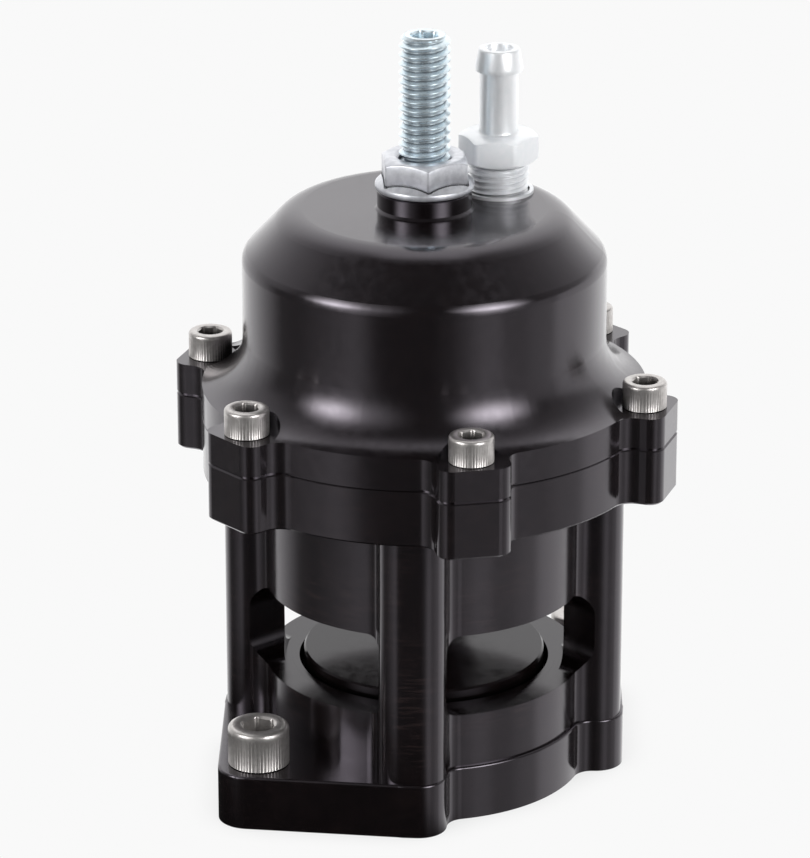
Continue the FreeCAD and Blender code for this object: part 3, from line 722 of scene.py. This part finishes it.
def make_vacuum_fitting():
    """Hose barb with a bore, a hexagon with turned corners and a tapered pipe thread."""
    shape = Shape(node_centre("vacuum_fitting"))
    apothem = FITTING_AF / 2
    angles = hexagon_angles(FITTING_TURN, corner_half(apothem, FITTING_CORNER_R), 6, 10)
    foot = fitting_low.z / MM
    tip = fitting_high.z / MM
    hex_low = fitting_hex_z
    hex_high = hex_low + FITTING_HEX_HEIGHT
    tube_top = tip - BARB_LENGTH
    flat_r = apothem * 0.95
    bore = FITTING_BORE_R

    def hex_wall(high, inset, shift):
        """Ring on the hexagon near its upper or lower end, on the chamfer of its corners."""
        def place(angle):
            radius = hexagon_radius(angle, FITTING_TURN, apothem, FITTING_CORNER_R)
            drop = max(radius - flat_r, 0.0) * HEX_CHAMFER_SLOPE + shift
            return radius - inset, (hex_high - drop if high else hex_low + drop)
        return place

    ends = [(0.15, 0.0), (0.03, 0.08), (0.0, 0.22)]
    neck_r = PIPE_THREAD_R - 0.75
    outline = [(neck_r, hex_low - 0.35), (neck_r, hex_low - 0.05), (neck_r + 0.15, hex_low),
               (flat_r - 0.2, hex_low)]
    outline += [hex_wall(False, inset, shift) for inset, shift in ends]
    outline += [hex_wall(True, inset, shift) for inset, shift in reversed(ends)]
    outline += [(flat_r - 0.2, hex_high)]
    # Tube with a fillet at its foot, step of the barb, its cone, tip and bore
    outline += [(TUBE_R + 0.5, hex_high), (TUBE_R + 0.2, hex_high + 0.08),
                (TUBE_R + 0.05, hex_high + 0.25), (TUBE_R, hex_high + 0.5)]
    outline += [(TUBE_R, tube_top - 0.12), (TUBE_R + 0.04, tube_top - 0.03),
                (TUBE_R + 0.15, tube_top), (BARB_R - 0.15, tube_top),
                (BARB_R - 0.04, tube_top + 0.05), (BARB_R, tube_top + 0.18),
                (BARB_R, tube_top + 0.6), (BARB_R - 0.03, tube_top + 0.85)]
    outline += [(BARB_TIP_R, tip - 0.35), (BARB_TIP_R - 0.09, tip - 0.14),
                (BARB_TIP_R - 0.24, tip - 0.03), (BARB_TIP_R - 0.39, tip)]
    outline += [(bore + 0.22, tip), (bore + 0.08, tip - 0.05), (bore, tip - 0.2), (bore, foot)]
    shape.rings(outline, angles)

    thread_angles = even_angles(72)
    profile, depth = vee_profile(PIPE_PITCH, steps=3)
    top = hex_low - 0.3
    root_r = PIPE_THREAD_R - depth
    end_r = root_r - 0.2

    def radius_at(z, drop):
        taper = (top - z) / PIPE_LENGTH_PER_TAPER
        return min(PIPE_THREAD_R - taper - drop, end_r + (z - foot),
                   root_r + 0.05 + (top - z) * 0.9)

    shape.thread(radius_at, PIPE_PITCH, foot, top, thread_angles, profile)
    low_ring = shape.ring((end_r, foot), thread_angles)
    bore_ring = shape.ring((bore, foot), thread_angles)
    shape.join(bore_ring, low_ring)
    piece = shape.build("vacuum_fitting_barbed", "housing", fitting_satin)
    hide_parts("vacuum_fitting")


SPRING_WIRE_R = 0.9
SPRING_MEAN_R = 10.2
SPRING_TURNS = 4.5
SPRING_SPLIT = 0.70
STEPS_PER_TURN = 40
STEPS_ROUND_WIRE = 14


def make_main_spring():
    """Round wire on a helix in two lengths: the long one below on the housing, the short one above
    it without a body.
    """
    low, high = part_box("main_spring")
    start = low.z / MM + SPRING_WIRE_R
    rise = high.z / MM - SPRING_WIRE_R - start
    steps = int(SPRING_TURNS * STEPS_PER_TURN)
    split = int(steps * SPRING_SPLIT)
    pieces = []
    for name, body, first_step, last_step in [("main_spring_lower", "housing", 0, split),
                                              ("main_spring_upper", None, split, steps)]:
        shape = Shape()
        rows = []
        for step in range(first_step, last_step + 1):
            share = step / steps
            turn = FULL * SPRING_TURNS * share
            rows.append([shape.point(SPRING_MEAN_R + SPRING_WIRE_R * math.cos(around), turn,
                                     start + rise * share + SPRING_WIRE_R * math.sin(around))
                         for around in even_angles(STEPS_ROUND_WIRE)])
        for first, second in zip(rows, rows[1:]):
            shape.join(first, second)
        shape.faces += [tuple(rows[0]), tuple(reversed(rows[-1]))]
        pieces.append(shape.build(name, body, spring_steel))
    lower, upper = pieces
    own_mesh(lower)
    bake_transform(upper)
    for piece in pieces:
        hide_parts("main_spring")


DIAPHRAGM_THICK = 0.8
DIAPHRAGM_HOLE_R = 2.45
LOOP_MEAN_R = 22.9
LOOP_R = 2.5
LOOP_IN_R = 19.6
LOOP_OUT_R = 25.7
LOOP_STEPS = 12
LOOP_WEDGES = 16


def make_diaphragm():
    """Rubber disc: its middle follows the valve, its rim stays, and the loop between is built in
    wedges.
    """
    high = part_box("diaphragm")[1]
    top = high.z / MM
    under = top - DIAPHRAGM_THICK
    angles = even_angles(96)
    pieces = []
    for name, body, in_r, out_r in [("diaphragm_middle", "valve", DIAPHRAGM_HOLE_R, LOOP_IN_R),
                                    ("diaphragm_rim", "housing", LOOP_OUT_R, high.x / MM)]:
        shape = Shape()
        shape.rings([(in_r, under), (out_r, under), (out_r, top), (in_r, top)], angles,
                    closed=True)
        pieces.append(shape.build(name, body, rubber))

    under_r = LOOP_R + DIAPHRAGM_THICK
    tilt = math.asin(DIAPHRAGM_THICK / under_r)
    outline = [(LOOP_IN_R, under)]
    for step in range(LOOP_STEPS + 1):
        turn = math.pi + tilt + (math.pi - 2 * tilt) * step / LOOP_STEPS
        outline.append((LOOP_MEAN_R + under_r * math.cos(turn), top + under_r * math.sin(turn)))
    outline += [(LOOP_OUT_R, under), (LOOP_OUT_R, top)]
    for step in range(LOOP_STEPS + 1):
        turn = FULL - math.pi * step / LOOP_STEPS
        outline.append((LOOP_MEAN_R + LOOP_R * math.cos(turn), top + LOOP_R * math.sin(turn)))
    outline += [(LOOP_IN_R, top)]
    half = math.pi / LOOP_WEDGES
    for index, middle_turn in enumerate(even_angles(LOOP_WEDGES)):
        wedge = Shape()
        wedge_angles = [middle_turn + half * step / 3 for step in range(-3, 4)]
        rows = [wedge.ring(place, wedge_angles) for place in outline]
        for first, second in zip(rows, rows[1:] + rows[:1]):
            wedge.strip(first, second)
        piece = wedge.build("diaphragm_loop_%02d" % (index + 1), None, rubber)
        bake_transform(piece)
        pieces.append(piece)
    for piece in pieces:
        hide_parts("diaphragm")


POCKET_R = 20.6
LIP_IN_R = 19.75
LIP_DROP = 1.2


def make_pocket_lip():
    """Narrow ledge that leaves an even gap round the closed valve disc."""
    top = window_floor_z + 0.01
    under = window_floor_z - LIP_DROP
    shape = Shape()
    shape.rings([(LIP_IN_R, under), (POCKET_R - 0.01, under), (POCKET_R - 0.01, window_floor_z),
                 (POCKET_R + 0.35, top), (LIP_IN_R + 0.06, top), (LIP_IN_R, top - 0.06)],
                even_angles(160), closed=True)
    shape.build("window_floor_lip", "housing", body_black)


for stem, count, size, seat_z in [("cap_screw", 6, CAP_SCREW, ear_top_z),
                                  ("base_screw", 2, BASE_SCREW, base_top_z)]:
    for index in range(count):
        turn = size["turn"] + size["turn_step"] * index
        make_socket_screw("%s_%d" % (stem, index + 1), size, turn, seat_z)
make_adjuster_stud()
make_lock_nut()
make_vacuum_fitting()
make_main_spring()
make_diaphragm()
make_pocket_lip()

# Floor, world and lights

BACKDROP = 0.947
FLOOR_HALF = 2.0
FLOOR_DROP = 0.00002

# Contact shadow: its reach in metres and how light it is at its darkest
SHADOW_REACH = 0.008
SHADOW_LEVEL = 0.72

# Painted shade of the floor, seen in reflections: distances from the axis in metres and turns
# in radians where it fades
SHADE_PATCH_REACH = (0.050, 0.085)
SHADE_PATCH_RIGHT = (0.05, 0.40)
SHADE_PATCH_LEFT = (-1.9, -1.5)


def turn_from_front(nodes, across, back):
    """Turn in radians round the upright axis, from the front towards the right."""
    return nodes.math("ARCTAN2", across, nodes.math("MULTIPLY", back, -1.0))


def make_floor():
    """Pale level floor with a soft contact shadow and painted shade in front, seen in reflections.
    """
    mesh = bpy.data.meshes.new("floor")
    corners = [(-1, -1), (1, -1), (1, 1), (-1, 1)]
    mesh.from_pydata([(x * FLOOR_HALF, y * FLOOR_HALF, 0) for x, y in corners], [], [(0, 1, 2, 3)])
    floor = bpy.data.objects.new("floor", mesh)
    bpy.context.scene.collection.objects.link(floor)
    floor.location.z = -FLOOR_DROP
    material = bpy.data.materials.new("floor_pale")
    nodes = Nodes(material)
    output = nodes.add("ShaderNodeOutputMaterial")
    path = nodes.add("ShaderNodeLightPath")
    seen = nodes.smooth(nodes.openness(SHADOW_REACH), 0.0, 0.9, SHADOW_LEVEL, BACKDROP)
    bounce = nodes.feed(nodes.add("ShaderNodeBsdfDiffuse"), {"Color": (0.8, 0.8, 0.8, 1)})
    across, back = nodes.split(nodes.position())[:2]
    reach = nodes.math("SQRT", nodes.math("ADD", nodes.product(across, across),
                                          nodes.product(back, back)))
    turn = turn_from_front(nodes, across, back)
    near = nodes.product(nodes.smooth(reach, *SHADE_PATCH_REACH, 1.0, 0.0),
                         nodes.smooth(turn, *SHADE_PATCH_RIGHT, 1.0, 0.0),
                         nodes.smooth(turn, *SHADE_PATCH_LEFT))
    clear = nodes.add("ShaderNodeBsdfTransparent")
    # Reflections see painted shade on the floor near the front; elsewhere they pass through it
    reflected_shade = nodes.shader_mix(near, clear.outputs[0], nodes.glow((0.02, 0.02, 0.02, 1)))
    other = nodes.shader_mix(path.outputs["Is Glossy Ray"], bounce.outputs[0], reflected_shade)
    mixed = nodes.shader_mix(path.outputs["Is Camera Ray"], other, nodes.glow(seen))
    nodes.link(mixed, output.inputs[0])
    mesh.materials.append(material)


# Light by direction: degrees round from the front towards the right, and level
HIGH_LIGHT = [(-180, 1.30), (-158, 1.25), (-143, 1.10), (-128, 0.80), (-113, 0.55), (-98, 0.38),
              (-83, 0.16), (-68, 0.08), (-30, 0.06), (30, 0.06), (68, 0.07), (82, 0.16),
              (97, 0.24), (112, 0.36), (127, 0.55), (142, 0.95), (157, 1.25), (180, 1.30)]
LOW_LIGHT = [(-180, 1.30), (-158, 1.30), (-143, 1.20), (-128, 1.00), (-113, 0.60), (-98, 0.14),
             (-83, 0.13), (-68, 0.20), (-53, 0.30), (-42, 0.42), (-36, 0.34), (-27, 0.10),
             (-18, 0.06), (8, 0.06), (22, 0.14), (30, 0.28), (42, 0.50), (50, 0.48), (57, 0.34),
             (68, 0.35), (78, 0.46), (90, 0.50), (97, 0.85), (112, 0.95), (127, 1.10),
             (142, 1.35), (157, 1.35), (180, 1.30)]

# Upward share of the direction between which the low light turns into the high and the high
# into the ceiling; the ceiling is dark in front and bright behind
LOW_TO_HIGH = (0.10, 0.26)
HIGH_TO_CEILING = (0.92, 0.99)
CEILING_BACK = (-0.30, 0.25)
CEILING_LEVELS = (0.04, 1.25)


def make_world():
    """Pale for the camera; in reflections a bright wall behind and dim walls in front."""
    world = bpy.data.worlds.new("studio")
    bpy.context.scene.world = world
    nodes = Nodes(world)
    output = nodes.add("ShaderNodeOutputWorld")
    path = nodes.add("ShaderNodeLightPath")
    across, back, up = nodes.split(nodes.add("ShaderNodeTexCoord").outputs["Generated"])
    share = nodes.math("MULTIPLY_ADD", turn_from_front(nodes, across, back), 1 / FULL, 0.5)
    low, high = [nodes.ramp(share, [((angle + 180) / 360, level) for angle, level in lights])
                 for lights in (LOW_LIGHT, HIGH_LIGHT)]
    level = nodes.blend(nodes.smooth(up, *LOW_TO_HIGH), low, high)
    ceiling = nodes.smooth(back, *CEILING_BACK, *CEILING_LEVELS)
    level = nodes.blend(nodes.smooth(up, *HIGH_TO_CEILING), level, ceiling)
    mirror = nodes.feed(nodes.add("ShaderNodeBackground"), {"Color": level})
    seen = nodes.feed(nodes.add("ShaderNodeBackground"),
                      {"Color": (BACKDROP, BACKDROP, BACKDROP, 1)})
    mixed = nodes.shader_mix(path.outputs["Is Camera Ray"], mirror.outputs[0], seen.outputs[0])
    nodes.link(mixed, output.inputs[0])


SOFTBOX_FALL = 16.0
SOFTBOX_EDGE = math.exp(-SOFTBOX_FALL / 4)


def make_softbox(name, azimuth, elevation, distance, spread, level, target):
    """Soft light that fades from its middle; spread is the fade in degrees across and up."""
    light = bpy.data.lights.new(name, "AREA")
    light.shape = "RECTANGLE"
    reach = distance * math.sqrt(2 * SOFTBOX_FALL)
    light.size = reach * math.tan(math.radians(spread[0]))
    light.size_y = reach * math.tan(math.radians(spread[1]))
    light.energy = level * math.pi * light.size * light.size_y
    nodes = Nodes(light)
    place = nodes.add("ShaderNodeNewGeometry").outputs["Parametric"]
    offset = nodes.vector("SUBTRACT", place, (0.5, 0.5, 0.0))
    square = nodes.vector("DOT_PRODUCT", offset, offset)
    fall = nodes.math("EXPONENT", nodes.math("MULTIPLY", square, -SOFTBOX_FALL))
    fall = nodes.math("MULTIPLY_ADD", fall, 1 + SOFTBOX_EDGE, -SOFTBOX_EDGE, clamp=True)
    output = nodes.add("ShaderNodeOutputLight")
    nodes.link(nodes.glow((1, 1, 1, 1), fall), output.inputs[0])
    box = bpy.data.objects.new(name, light)
    turn = math.radians(azimuth)
    tilt = math.radians(elevation)
    away = Vector((math.sin(turn) * math.cos(tilt), -math.cos(turn) * math.cos(tilt),
                   math.sin(tilt)))
    box.location = target + away * distance
    box.rotation_euler = (-away).to_track_quat("-Z", "Y").to_euler()
    box.visible_camera = False
    bpy.context.scene.collection.objects.link(box)


make_floor()
make_world()
aim = Vector((0.0, 0.0, 0.072))
make_softbox("softbox_left", azimuth=-55, elevation=23, distance=0.90, spread=(9.5, 9.5),
             level=8.5, target=aim)
make_softbox("softbox_left_skirt", azimuth=-38, elevation=24, distance=0.88,
             spread=(14.0, 16.0), level=1.2, target=aim)
make_softbox("softbox_right", azimuth=47, elevation=24, distance=0.90, spread=(11.0, 10.5),
             level=9.3, target=aim)

# Camera, with the focal length and the picture's height in pixels
FOCAL_LENGTH = 4650.46
PICTURE_HEIGHT = 858
SENSOR = 36.0
view_target = Vector((-0.002996, -0.000205, 0.05542))
view_place = Vector((0.04346, -0.6789, 0.3121))
camera = bpy.data.cameras.new("camera")
camera.sensor_width = SENSOR
camera.lens = FOCAL_LENGTH / PICTURE_HEIGHT * SENSOR
camera.clip_start = 0.01
camera.clip_end = 20.0
eye = bpy.data.objects.new("camera", camera)
eye.location = view_place
eye.rotation_euler = (view_target - view_place).to_track_quat("-Z", "Y").to_euler()
bpy.context.scene.collection.objects.link(eye)
bpy.context.scene.camera = eye

bpy.context.scene.view_settings.view_transform = "Standard"
